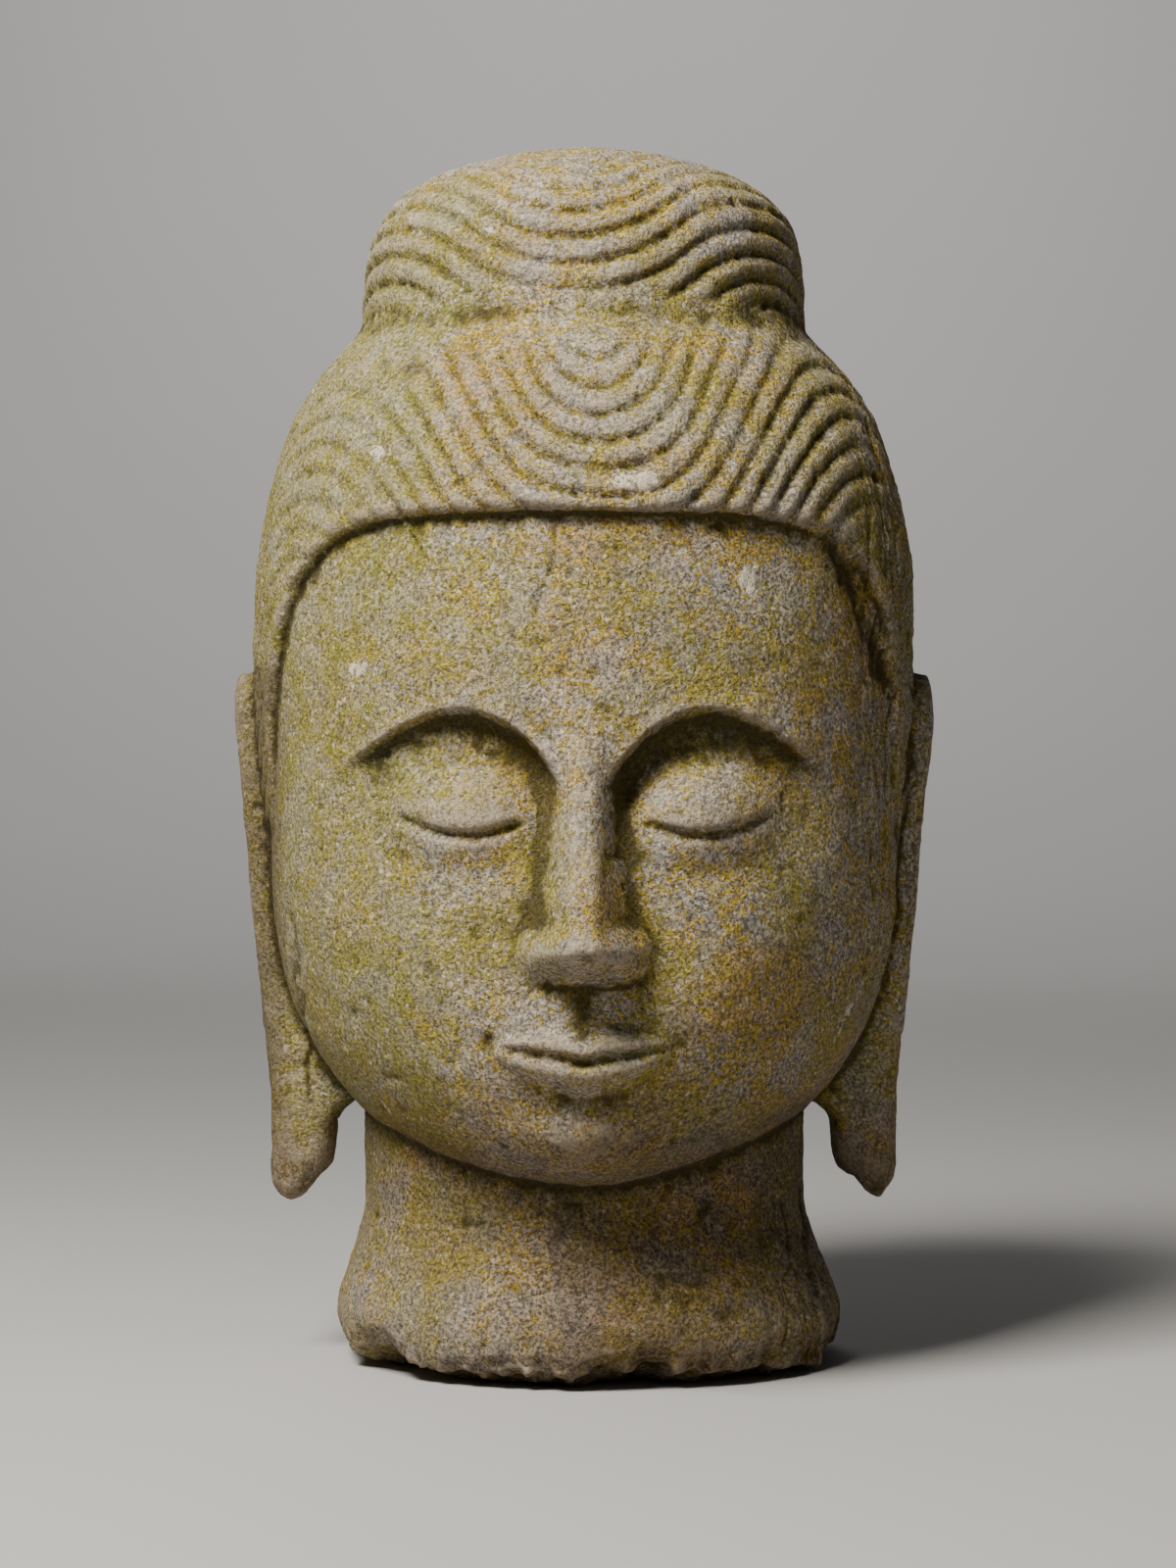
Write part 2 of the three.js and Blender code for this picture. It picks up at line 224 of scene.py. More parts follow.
def skull_point(turn, z):
    down = (FACE_WIDEST - z) / (FACE_WIDEST - CHIN)
    up = (z - FACE_WIDEST) / 240
    lower = z < FACE_WIDEST
    half = FACE_HALF_WIDTH * np.where(lower, rounded(down, 2.4), rounded(up, 3.4))
    front = FACE_DEPTH * np.where(lower, rounded(down, 4.5), rounded(up, 2.6))
    depth = np.where(np.cos(turn) > 0, front, np.minimum(front, BACK_DEPTH))
    return half * np.sin(turn), -depth * np.cos(turn)


def place_face(turn, share):
    top = HAIRLINE + 20
    about = crowd(turn, 0.4)
    z = CHIN + (top - CHIN) * share**1.2
    x, y = skull_point(about, z)
    side = np.abs(x)
    relief = nose(side, z) + socket(side, z) + eye(side, z) + mouth(side, z) + chin_and_cheek(side, z)
    y = np.where(y < 0, y - relief * smoothstep(-y, 0, 40), y)
    pole = share >= 1
    return np.where(pole, 0, x), np.where(pole, 0, y), np.where(pole, top + 5, z)


# ---- Hair -----------------------------------------------------------------------------------------------


def hair_edge(turn):
    side = np.abs(turn) / TEMPLE_TURN
    front = TEMPLE_LINE + (HAIRLINE - TEMPLE_LINE) * np.sqrt(1 - np.clip(side, 0, 1) ** 5)
    back = TEMPLE_LINE + (NAPE_LINE - TEMPLE_LINE) * smoothstep(side, 1.25, 1.6)
    return np.where(side < 1, front, back)


def lock_height(phase):
    """How high a lock stands across its width: 0 in the cuts beside it, 1 on its rounded crest."""
    t = phase % 1
    t = t + 0.11 * np.sin(2 * np.pi * t)
    return np.abs(np.sin(np.pi * t)) ** 0.62


def lock_phase(turn, level, waves):
    """Counts locks away from a trough: arcs about the troughs run on into arcs about the crests between."""
    half = np.pi / waves["count"]
    around = (turn - waves["middle"]) % (2 * half)
    across = waves["radius"] * np.minimum(around, 2 * half - around)
    width = waves["radius"] * half
    above, drop = level - waves["trough"], waves["trough"] - waves["crest"]
    over = width * above + drop * across > 0
    from_crest = np.hypot(width, drop) - np.hypot(width - across, level - waves["crest"])
    return np.where(over, from_crest, np.hypot(across, above)) / waves["lock"]


def dome_size(z):
    above = z > HAIR_WIDEST
    high = rounded((z - HAIR_WIDEST) / (HAIR_TOP - HAIR_WIDEST), 2.5)
    low = rounded((HAIR_WIDEST - z) / 215, 2.2)
    return np.where(above, high, low)


def place_hair(turn, share):
    about = crowd(turn, 0.25)
    edge = hair_edge(about)
    ledge = 0.05
    up = np.clip((share - ledge) / (1 - ledge), 0, 1)
    z = edge + (HAIR_TOP - edge) * up
    size = dome_size(z)
    points = np.stack([HAIR_HALF_WIDTH * size * np.sin(about), -HAIR_HALF_DEPTH * size * np.cos(about), z], 1)
    hand = 1.6 * mottle(points, 30, 3)
    height = lock_height(lock_phase(about, z + hand, HAIR_WAVES))
    crisp = 0.42 + 0.58 * smoothstep(points[:, 0], -90, -44)
    crisp = np.where(points[:, 1] > 0, 0.8, crisp)
    crisp = crisp * (1 - 0.5 * smoothstep(z, 384, 404) * hill(about / 0.5))
    crisp = crisp * (1 - 0.6 * smoothstep(points[:, 0], 96, 112) * smoothstep(-points[:, 1], -20, 20))
    crisp = crisp * np.clip(1.0 + 0.3 * mottle(points, 26, 4), 0.4, 1.25)
    cut = 5.0 * crisp * (1 - height) + 2.2 * hill((z - edge) / 2.2)
    inner = np.clip(share / ledge, 0, 1)
    reach = np.where(share < ledge, 0.5 + 0.5 * inner, 1)
    x = (HAIR_HALF_WIDTH * size - cut) * reach * np.sin(about)
    y = HAIR_MIDDLE_Y - (HAIR_HALF_DEPTH * size - cut) * reach * np.cos(about)
    low_pole, high_pole = share <= 0, share >= 1
    pole = low_pole | high_pole
    z = np.where(low_pole, TEMPLE_LINE, np.where(high_pole, HAIR_TOP, z))
    return np.where(pole, 0, x), np.where(pole, HAIR_MIDDLE_Y, y), z


def topknot_outline():
    """The topknot's radius and height at even steps along its outline, from the base to the crown."""
    angle = np.linspace(0, np.pi / 2, 400)
    climb = squared(np.sin(angle), 5.4)
    radius = TOPKNOT_RADIUS * squared(np.cos(angle), 1.4) * (1 - 0.045 * climb)
    height = TOPKNOT_BASE + (TOTAL_HEIGHT - TOPKNOT_BASE) * climb
    along = np.concatenate([[0], np.cumsum(np.hypot(np.diff(radius), np.diff(height)))])
    return along / along[-1], radius, height, along[-1]


def place_topknot(turn, share):
    about = crowd(turn, 0.2)
    along, radii, heights, length = topknot_outline()
    radius, height = np.interp(share, along, radii), np.interp(share, along, heights)
    points = np.stack([radius * np.sin(about), -radius * np.cos(about), height], 1)
    level = share * length + 1.4 * mottle(points, 28, 5)
    phase = lock_phase(about, level, TOPKNOT_WAVES)
    crisp = 1.05 - 0.3 * hill((points[:, 0] + 30) / 24)
    crisp = crisp * np.clip(1.0 + 0.35 * mottle(points, 24, 6), 0.4, 1.3)
    crisp = crisp * smoothstep(share, 0.02, 0.1) * (1 - 0.2 * smoothstep(share, 0.6, 0.95))
    slope = np.arctan2(np.gradient(heights), -np.gradient(radii))
    slope = np.interp(share, along, slope)
    cut = 4.8 * crisp * (1 - lock_height(phase)) * np.minimum(1, radius / 26)
    radius, height = radius - cut * np.maximum(np.sin(slope), 0.9), height - 0.3 * cut * np.cos(slope)
    height = np.where(share < 0.012, TOPKNOT_BASE - 10, height)
    low_pole, high_pole = share <= 0, share >= 1
    pole = low_pole | high_pole
    height = np.where(low_pole, TOPKNOT_BASE - 12, height)
    x, y = radius * np.sin(about), -radius * np.cos(about)
    return np.where(pole, 0, x), TOPKNOT_MIDDLE_Y + np.where(pole, 0, y), height


# ---- Neck and ears --------------------------------------------------------------------------------------


def chips(turn):
    coarse = np.abs(np.sin(2.5 * turn + 0.9))
    fine = np.abs(np.sin(5.5 * turn + 0.4))
    small = np.abs(np.sin(11 * turn + 0.7 + 2 * np.sin(3 * turn)))
    tiny = np.abs(np.sin(27 * turn + 3 * np.sin(4 * turn)))
    return 1 + 6 * coarse * fine + fine + 1.6 * (1 - np.sin(turn)) + 2.0 * small + 0.9 * tiny


def place_neck(turn, share):
    chip = chips(turn)
    under = np.array([0, 0.15, 0.25, 0.31])
    foot = NECK_FOOT_RADIUS - 7 - 2.2 * chip
    radii = np.stack([0 * turn, 50 + 0 * turn, foot, NECK_FOOT_RADIUS - 0.3 * chip])
    levels = np.stack([0 * turn, 0 * turn, 0 * turn, chip])
    radius, z = 0 * turn, 0 * turn
    for i in range(3):
        t = np.clip((share - under[i]) / (under[i + 1] - under[i]), 0, 1)
        inside = share >= under[i]
        radius = np.where(inside, radii[i] + (radii[i + 1] - radii[i]) * t, radius)
        z = np.where(inside, levels[i] + (levels[i + 1] - levels[i]) * t, z)
    t = np.clip((share - under[3]) / (0.97 - under[3]), 0, 1)
    side = share > under[3]
    height = NECK_TOP * t
    flare = (NECK_FOOT_RADIUS - NECK_RADIUS) * (1 - smoothstep(height, 14, 66))
    settle = smoothstep(height, 0, 8)
    radius = np.where(side, (1 - settle) * radii[3] + settle * (NECK_RADIUS + flare), radius)
    z = np.where(side, height + chip * (1 - smoothstep(height, 0, 40)), z)
    lean = NECK_LEAN * (1 - smoothstep(z, 14, 66))
    radius = np.where((share <= 0) | (share >= 1), 0, radius)
    z = np.where(share >= 1, NECK_POLE, z)
    return lean + radius * np.sin(turn), NECK_MIDDLE_Y - 0.97 * radius * np.cos(turn), z


def ear_relief(across, z):
    up = smoothstep(z, 140, 180)
    rim = 3 * hill((np.abs(across) - 0.8) / 0.22) * up
    hollow = -9 * hill(across / 0.42) * hill((z - 218) / 30)
    fold = 5 * hill((across + 0.22) / 0.17) * hill((z - 226) / 22)
    return rim + hollow + fold


def place_ear(turn, share):
    middle, half = (EAR_TOP + LOBE_BOTTOM) / 2, (EAR_TOP - LOBE_BOTTOM) / 2
    climb = -np.cos(np.pi * share)
    z = middle + half * np.sign(climb) * np.abs(climb) ** 0.85
    cap = rounded(np.abs(z - middle) / half, 4.5)
    width = (19 + 11 * smoothstep(z, 150, 235)) * cap
    spread = np.clip((z - 105) / 150, 0, 1)
    out = EAR_OUT_LOBE + (EAR_OUT_TOP - EAR_OUT_LOBE) * spread - 4 * (1 - cap)
    inner = 98 - 18 * smoothstep(z, 84, 112) + 6 * (1 - cap)
    about = turn - 0.35 * np.sin(2 * turn)
    across, outward = -squared(np.cos(about), 3.2), squared(np.sin(about), 3.2)
    relief = np.where(outward > 0, ear_relief(across, z) * outward * cap, 0)
    x = (out + inner) / 2 + (out - inner) / 2 * outward + relief
    point = 0.85 * np.abs(x - LOBE_POINT_X) * (1 - smoothstep(z, LOBE_BOTTOM, LOBE_BOTTOM + 50))
    return x, EAR_MIDDLE_Y + 0.06 * (z - middle) + width * across, z + point


# ---- Carving --------------------------------------------------------------------------------------------


def points_of(piece):
    flat = np.empty(3 * len(piece.data.vertices), np.float32)
    piece.data.vertices.foreach_get("co", flat)
    return flat.reshape(-1, 3).astype(float)


def move_points(piece, points):
    piece.data.vertices.foreach_set("co", points.astype(np.float32).ravel())
    piece.data.update()


def normals_of(piece):
    flat = np.empty(3 * len(piece.data.vertices), np.float32)
    piece.data.vertices.foreach_get("normal", flat)
    return flat.reshape(-1, 3).astype(float)


def edges_of(piece):
    flat = np.empty(2 * len(piece.data.edges), np.int32)
    piece.data.edges.foreach_get("vertices", flat)
    return flat.reshape(-1, 2)


def rough_out(name, columns, rows, place):
    """A closed form: a sphere of about columns by rows points, each moved to where place says."""
    bpy.ops.mesh.primitive_uv_sphere_add(segments=columns // 4, ring_count=rows // 4, radius=1)
    form = bpy.context.object
    form.name = name
    apply_modifier(form, "SUBSURF", subdivision_type="SIMPLE", levels=2)
    points = points_of(form)
    turn = np.arctan2(points[:, 0], -points[:, 1])
    share = np.arccos(np.clip(-points[:, 2], -1, 1)) / np.pi
    move_points(form, np.stack(place(turn, share), 1) * MM)
    return form


def apply_modifier(piece, kind, **settings):
    bpy.ops.object.select_all(action="DESELECT")
    piece.select_set(True)
    bpy.context.view_layer.objects.active = piece
    modifier = piece.modifiers.new(kind.title(), kind)
    for key, value in settings.items():
        setattr(modifier, key, value)
    bpy.ops.object.modifier_apply(modifier=modifier.name)


def join_forms(forms, name):
    bpy.ops.object.select_all(action="DESELECT")
    for form in forms:
        form.select_set(True)
    bpy.context.view_layer.objects.active = forms[0]
    bpy.ops.object.join()
    forms[0].name = forms[0].data.name = name
    return forms[0]


def relaxed(points, edges, rounds, strength=0.5):
    """The points after each has moved towards its neighbours' mean a number of times."""
    count = len(points)
    share = np.bincount(edges.ravel(), minlength=count)[:, None]
    a, b = edges.T
    moved = points.copy()
    for _ in range(rounds):
        total = np.stack([
            np.bincount(a, moved[b, k], count) + np.bincount(b, moved[a, k], count) for k in range(3)
        ], 1)
        moved += strength * (total / share - moved)
    return moved


# Old damage seen from the front, as (start, end, half-width, depth) with each end as (x, z).
CRACKS = {
    "temple crevice": ((92, 322), (119, 262), 3.4, 2.0),
    "temple crevice edge": ((104, 312), (120, 280), 1.6, 1.3),
    "jaw crease": ((-113, 184), (-108, 96), 1.1, 1.5),
    "forehead crack": ((-11, 323), (-17, 281), 0.8, 1.0),
    "short forehead crack": ((12, 320), (14, 294), 0.7, 0.7),
    "left forehead crack": ((-66, 322), (-58, 310), 0.7, 0.8),
    "neck crack": ((84, 70), (90, 22), 1.0, 1.4),
}
SCRATCHES = {
    "jaw scratch": ((95, 128), (115, 172), 1.0, 0.7),
    "lower jaw scratch": ((86, 112), (100, 140), 0.8, 0.6),
    "ear scratch": ((124, 150), (129, 112), 0.9, 0.6),
}
# Marks seen from the front, as (x, z, half width, half height): bare pale scars, rust and dark spots.
SCARS = {
    "forehead scar": (61, 303, 5.5, 6.5),
    "left temple chip": (-84, 271, 4, 3.5),
    "lock end chips": (19, 339, 9, 4.5),
    "crown chip": (-36, 437, 4, 2.5),
    "left hair chip": (-76, 352, 6, 3),
    "neck chip": (-20, 9, 9, 3),
}
RUST_SPOTS = {
    "topknot rust": (-40, 432, 26, 10),
    "hair rust": (-34, 372, 22, 26),
    "forehead rust": (6, 316, 34, 9),
    "neck rust": (41, 36, 7, 6),
    "temple rust": (103, 290, 11, 30),
    "cheek rust": (62, 150, 26, 22),
    "jaw rust": (-66, 96, 22, 16),
}
DARK_SPOTS = {
    "hair spot": (-65, 384, 5, 3),
    "neck spot": (53, 28, 5, 5),
    "cheek spot": (83, 216, 3, 3),
}
CRACK_SEED = 40
SCRATCH_SEED = CRACK_SEED + 2 * len(CRACKS)


def spot_share(at, spot):
    """How much of a mark lies at each point: ragged at its rim, and only on the front."""
    x, z, wide, high = spot
    away = np.hypot((at[:, 0] - x) / wide, (at[:, 2] - z) / high)
    away = away + 0.35 * mottle(at, 7, 61) + 0.2 * mottle(at, 3, 62)
    return smoothstep(-away, -1.15, -0.6) * (at[:, 1] < 0)


def crack_depth(at, crack, seed):
    """How deep a crack goes at each point: a wandering line that fades at both ends."""
    (x0, z0), (x1, z1), half, depth = crack
    length = math.hypot(x1 - x0, z1 - z0)
    ux, uz = (x1 - x0) / length, (z1 - z0) / length
    along = (at[:, 0] - x0) * ux + (at[:, 2] - z0) * uz
    aside = (at[:, 0] - x0) * uz - (at[:, 2] - z0) * ux
    aside = aside + 2.2 * mottle(at, 9, seed) + 0.8 * mottle(at, 3, seed + 1)
    fade = smoothstep(along, -0.1 * length, 0.2 * length) * smoothstep(-along, -1.1 * length, -0.8 * length)
    return depth * hill(aside / half) * fade * (at[:, 1] < 15)


def crack_depths(at, cracks, seed):
    return [crack_depth(at, crack, seed + 2 * number) for number, crack in enumerate(cracks.values())]


def spot_shares(at, spots):
    return [spot_share(at, spot) for spot in spots.values()]


def weather(piece, roughness):
    """Wears the carving: uneven broad faces, a pitted skin, cracks, and runnels down one side."""
    points = points_of(piece)
    edges = edges_of(piece)
    soft = relaxed(points, edges, 40)
    x, y, z = points.T / MM
    joint = 0.85 * hill((z - 404) / 9) * (np.hypot(x, y - TOPKNOT_MIDDLE_Y) < 104)
    temple = smoothstep(x, 82, 98) * smoothstep(z, 226, 250) * smoothstep(-z, -338, -322) * (y < -8)
    points = relaxed(points, edges, 1)
    points = points + (soft - points) * np.maximum(joint, 0.9 * temple)[:, None]
    move_points(piece, points)
    normals = normals_of(piece)
    at = points / MM
    x, y, z = at.T
    bent = at + 3 * np.stack([mottle(at, 14, 31), mottle(at, 14, 32), mottle(at, 14, 33)], 1)
    depth = 0.6 * mottle(at, 32, 11) + 0.36 * mottle(bent, 12, 12) + 0.24 * mottle(bent, 5.5, 13)
    depth = depth + 0.24 * mottle(at, 2.7, 14)
    depth = depth - 0.7 * smoothstep(mottle(bent, 6, 15), 0.6, 0.95)
    side = smoothstep(x, 98, 116) * smoothstep(z, 130, 170) + smoothstep(x, 58, 84) * smoothstep(-z, -75, -60)
    side = side * (0.15 + 0.85 * smoothstep(-y, -12, 12))
    fissure = mottle(bent, (4.6, 4.6, 40), 16)
    depth = depth + side * (0.5 * fissure + 0.3 * mottle(at, (2.4, 2.4, 14), 22) - 1.3 * hill(fissure / 0.13))
    chipped = smoothstep(-z, -20, -4) * smoothstep(np.hypot(x, y), 68, 86)
    depth = depth + chipped * (1.8 * mottle(at, 9, 17) + 1.5 * mottle(at, 4, 18) - 0.6)
    lobe = smoothstep(-z, -88, -66) * (np.abs(x) > 94) * (z > 50)
    depth = depth + lobe * (1.3 * mottle(at, 8, 19) + 0.7 * mottle(at, 3.5, 20))
    shoulder = hill((z - 452) / 12) * hill((x + 74) / 10) * (y < 20)
    depth = depth - shoulder * (1.0 + 1.6 * mottle(at, 8, 21))
    for cut in crack_depths(at, {**CRACKS, **SCRATCHES}, CRACK_SEED):
        depth = depth - cut
    depth = np.where(z < 0.4, np.minimum(depth, 0) * 0.2, depth)
    points = points + normals * (depth * roughness * MM)[:, None]
    points[:, 2] = np.maximum(points[:, 2], 0)
    move_points(piece, points)


def keep_mask(piece, name, values):
    attribute = piece.data.attributes.new(name, "FLOAT", "POINT")
    attribute.data.foreach_set("value", values.astype(np.float32))


def mark_surface(piece):
    """Stores hollows, worn ridges, growths, marks, and where painted shade and a painted highlight go."""
    points = points_of(piece)
    edges = edges_of(piece)
    normals = normals_of(piece)
    near = np.sum((relaxed(points, edges, 10) - points) * normals, 1) / MM
    wide = np.sum((relaxed(points, edges, 60) - points) * normals, 1) / MM
    at = points / MM
    x, y, z = at.T
    # hollow: how deep each point lies in a cut; it darkens the cuts as dirt and painted shade, and gathers
    # lichen.
    keep_mask(piece, "hollow", smoothstep(near, 0.08, 0.65) * 0.7 + smoothstep(wide, 0.3, 2.2) * 0.7)
    # Worn ridges: sharp ridges are made pale, partly as wear and partly as a painted highlight.
    keep_mask(piece, "worn_and_highlight", smoothstep(-near, 0.3, 1.15) * 0.85)
    bare = smoothstep(-z, -130, -75) + 1.2 * smoothstep(-x, 110, 122) * (z < 274)
    keep_mask(piece, "shelter", smoothstep(x, 20, 120) * smoothstep(z, 230, 330) - bare)
    green = smoothstep(-x, 10, 105) * smoothstep(z, 40, 120) * 0.9 + 0.15 * smoothstep(-normals[:, 0], 0, 1)
    keep_mask(piece, "green_side", green)
    scarred = np.sum(spot_shares(at, SCARS), 0) + np.sum(crack_depths(at, SCRATCHES, SCRATCH_SEED), 0)
    keep_mask(piece, "scar", np.clip(scarred, 0, 1))
    keep_mask(piece, "rusty", np.clip(np.sum(spot_shares(at, RUST_SPOTS), 0), 0, 1))
    cracked = np.sum(crack_depths(at, CRACKS, CRACK_SEED), 0) / 2
    darkened = 0.8 * np.sum(spot_shares(at, DARK_SPOTS), 0)
    keep_mask(piece, "streaks", np.clip(cracked + darkened, 0, 1))
    # Stain and painted shade: the neck below the chin is darker, partly as a stain, partly as painted shadow.
    # The throat and the middle under the chin get the painted shadow of the chin,
    # as painted shade; the ear on the -x side is darker too.
    # faces turned downwards get painted shade, and all of it is weaker towards the key light on the -x side,
    throat = smoothstep(-z, -118, -92) * smoothstep(z, 30, 66) * (np.hypot(x, y) < 98)
    under = 0.8 * smoothstep(-z, -128, -75) + 0.6 * throat + 0.5 * smoothstep(normals[:, 2], 0.1, -0.7)
    under = under + 0.45 * hill((x - 8) / 42) * smoothstep(-z, -110, -80)
    under = under * (0.55 + 0.45 * smoothstep(x, -70, 30)) + smoothstep(-x, 112, 122) * (z < 274)
    keep_mask(piece, "stain_and_shade", np.clip(under, 0, 1.2))


# ---- The stone's finish -----------------------------------------------------------------------------------


class Nodes:
    """Adds shader nodes and links them, a value or a socket at a time."""

    def __init__(self, tree):
        self.tree = tree
        tree.nodes.clear()

    def add(self, kind, inputs=(), **settings):
        node = self.tree.nodes.new(kind)
        for key, value in settings.items():
            setattr(node, key, value)
        for key, value in dict(inputs).items():
            if isinstance(value, bpy.types.NodeSocket):
                self.tree.links.new(value, node.inputs[key])
            else:
                node.inputs[key].default_value = value
        return node

    def noise(self, place, size_mm, detail=2, rough=0.5, warp=0):
        return self.add(
            "ShaderNodeTexNoise",
            {
                "Vector": place, "Scale": 1000 / size_mm,
                "Detail": detail, "Roughness": rough, "Distortion": warp,
            },
        ).outputs["Fac"]

    def between(self, value, low, high, to_low=0.0, to_high=1.0):
        return self.add(
            "ShaderNodeMapRange",
            {"Value": value, "From Min": low, "From Max": high, "To Min": to_low, "To Max": to_high},
            interpolation_type="SMOOTHSTEP",
        ).outputs["Result"]

    def maths(self, operation, a, b=0.0, clamp=False):
        return self.add("ShaderNodeMath", {0: a, 1: b}, operation=operation, use_clamp=clamp).outputs[0]

    def mix(self, share, a, b, blend="MIX"):
        node = self.add("ShaderNodeMix", data_type="RGBA", blend_type=blend)
        for index, value in ((0, share), (6, a), (7, b)):
            if isinstance(value, bpy.types.NodeSocket):
                self.tree.links.new(value, node.inputs[index])
            else:
                node.inputs[index].default_value = value
        return node.outputs[2]

    def shaded(self, base, shade):
        """The colour made lighter or darker by a factor."""
        grey = self.add("ShaderNodeCombineColor", {0: shade, 1: shade, 2: shade}).outputs[0]
        return self.mix(1.0, base, grey, "MULTIPLY")

    def mask(self, name):
        return self.add("ShaderNodeAttribute", attribute_name=name).outputs["Fac"]


def stone_material(finish):
    """Grey and beige sandstone with iron stains, crumbs of lichen, rubbed edges that are also a painted
    highlight, dirt and painted shade in the cuts, and a neck darkened by stain and painted shade.
    """
    material = bpy.data.materials.new("weathered_sandstone")
    material.use_nodes = True
    n = Nodes(material.node_tree)
    place = n.add("ShaderNodeTexCoord").outputs["Object"]
    hollow, worn_and_highlight, shelter = n.mask("hollow"), n.mask("worn_and_highlight"), n.mask("shelter")
    green_side, streaks, stain_and_shade = n.mask("green_side"), n.mask("streaks"), n.mask("stain_and_shade")
    scar, rusty = n.mask("scar"), n.mask("rusty")

    # Sand grains: grey and beige ground, cool grey patches, and iron that has stained it in places.
    fine = n.noise(place, 1.45 * finish.grain_mm, 4, 0.72)
    grit = n.noise(place, 3.6, 4, 0.68)
    tint = n.noise(place, 46, 3, 0.55)
    clouds = n.noise(place, 17, 4, 0.62, 0.4)
    base = n.mix(n.between(clouds, 0.4, 0.6), finish.grey_grain, finish.warm_grain)
    cool = n.between(n.maths("ADD", n.noise(place, 15, 4, 0.6), n.maths("MULTIPLY", grit, 0.3)), 0.68, 0.78)
    base = n.mix(n.maths("MULTIPLY", cool, 0.75), base, finish.cool_grain)
    iron = n.maths("ADD", n.between(n.noise(place, 34, 4, 0.6), 0.46, 0.64, 0, 0.7), rusty, True)
    base = n.mix(n.maths("MULTIPLY", iron, n.between(grit, 0.35, 0.65, 0.25, 0.95)), base, finish.iron)
    grains = n.between(fine, 0.37, 0.63, 0.42, 1.5)
    base = n.shaded(base, n.maths("MULTIPLY", grains, n.between(grit, 0.36, 0.64, 0.78, 1.2)))

    # Lichen in crumbs of one colour each, crowded in clusters, in the cuts and on the sheltered side.
    bend = n.noise(place, 2.4, 2, 0.5)
    across, along = n.maths("MULTIPLY", bend, 0.0014), n.maths("MULTIPLY", grit, 0.0016)
    shift = n.add("ShaderNodeCombineXYZ", {0: across, 1: along}).outputs[0]
    bent = n.add("ShaderNodeVectorMath", {0: place, 1: shift}, operation="ADD").outputs[0]
    cells = n.add("ShaderNodeTexVoronoi", {"Vector": bent, "Scale": 1000 / (1.3 * finish.grain_mm)})
    pick = n.add("ShaderNodeSeparateColor", {"Color": cells.outputs["Color"]})
    kind, tone, spark = pick.outputs["Red"], pick.outputs["Green"], pick.outputs["Blue"]
    clustered = n.between(clouds, 0.38, 0.62, 0.02, 0.64)
    crowded = n.maths("ADD", clustered, n.between(grit, 0.38, 0.6, -0.28, 0.34))
    crowded = n.maths("ADD", crowded, n.maths("MULTIPLY", n.maths("SUBTRACT", hollow, worn_and_highlight), 0.34))
    crowded = n.maths("ADD", crowded, n.maths("MULTIPLY", shelter, 0.22))
    crowded = n.maths("ADD", crowded, n.between(tint, 0.4, 0.6, -0.1, 0.14))
    crowded = n.maths("SUBTRACT", crowded, n.maths("MULTIPLY", cool, 0.4))
    crumb = n.between(n.maths("SUBTRACT", crowded, kind), -0.05, 0.05)
    crumb = n.maths("MULTIPLY", crumb, n.between(cells.outputs["Distance"], 0.74, 0.5))
    growth = n.mix(n.between(tone, 0.1, 0.9), finish.lichen, finish.ochre_grain)
    algae = n.maths("ADD", green_side, n.between(n.noise(place, 42, 3), 0.42, 0.6, -0.15, 0.6), True)
    growth = n.mix(algae, growth, finish.green_algae)
    growth = n.shaded(growth, n.between(fine, 0.38, 0.64, 0.5, 1.4))
    base = n.mix(n.maths("MULTIPLY", crumb, 0.88), base, growth)
    film = n.maths("MULTIPLY", n.maths("ADD", algae, hollow, True), n.between(grit, 0.35, 0.6, 0.2, 0.6))
    base = n.mix(film, base, n.mix(0.5, growth, finish.green_algae))

    # Dark gaps between crumbs and grains, and a few bright grains far apart.
    gaps = n.between(n.noise(place, 1.6, 3, 0.72), 0.54, 0.66)
    base = n.mix(n.maths("MULTIPLY", gaps, 0.8), base, finish.gap_dark)
    base = n.mix(n.between(spark, 0.975, 0.985, 0, 0.6), base, finish.bright_grain)

    # Rubbed edges are pale with wear and a painted highlight, and scars are pale;
    # cuts are dark with dirt and painted shade, cracks and spots are dark with dirt,
    # and the neck is stained and given painted shade.
    # Rubbed ridges: pale with wear and with a painted highlight.
    chafed_and_highlight = n.maths("MULTIPLY", worn_and_highlight, n.between(fine, 0.3, 0.6, 0.35, 1.0), True)
    base = n.mix(chafed_and_highlight, base, finish.rubbed_edge_and_highlight)
    ragged = n.between(n.maths("ADD", scar, n.between(grit, 0.34, 0.66, -0.52, 0.5)), 0.56, 0.78)
    base = n.mix(n.maths("MULTIPLY", ragged, n.between(fine, 0.3, 0.5, 0.5, 0.95)), base, finish.bright_grain)
    # Dirt and painted shade: the cuts and hollows made darker by how deep they lie.
    grime_and_shade = n.maths("MULTIPLY", hollow, n.between(grit, 0.3, 0.7, 0.7, 1.15), True)
    base = n.mix(n.maths("MULTIPLY", grime_and_shade, 0.82, True), base, finish.dirt_and_shade)
    dirtied = n.maths("MULTIPLY", streaks, n.between(grit, 0.35, 0.65, 0.45, 0.95), True)
    base = n.mix(dirtied, base, finish.dirt_and_shade)
    # Stain and painted shade: the neck, the painted shadow under the chin and downward faces made darker.
    stained_and_shaded = n.mix(1.0, base, finish.stain_and_shade, "MULTIPLY")
    base = n.mix(n.maths("MULTIPLY", stain_and_shade, n.between(clouds, 0.2, 0.7, 1.0, 0.6), True), base, stained_and_shaded)
    spots = n.between(n.noise(place, 12, 2), 0.68, 0.74)
    base = n.mix(n.maths("MULTIPLY", spots, 0.5), base, finish.dirt_and_shade)

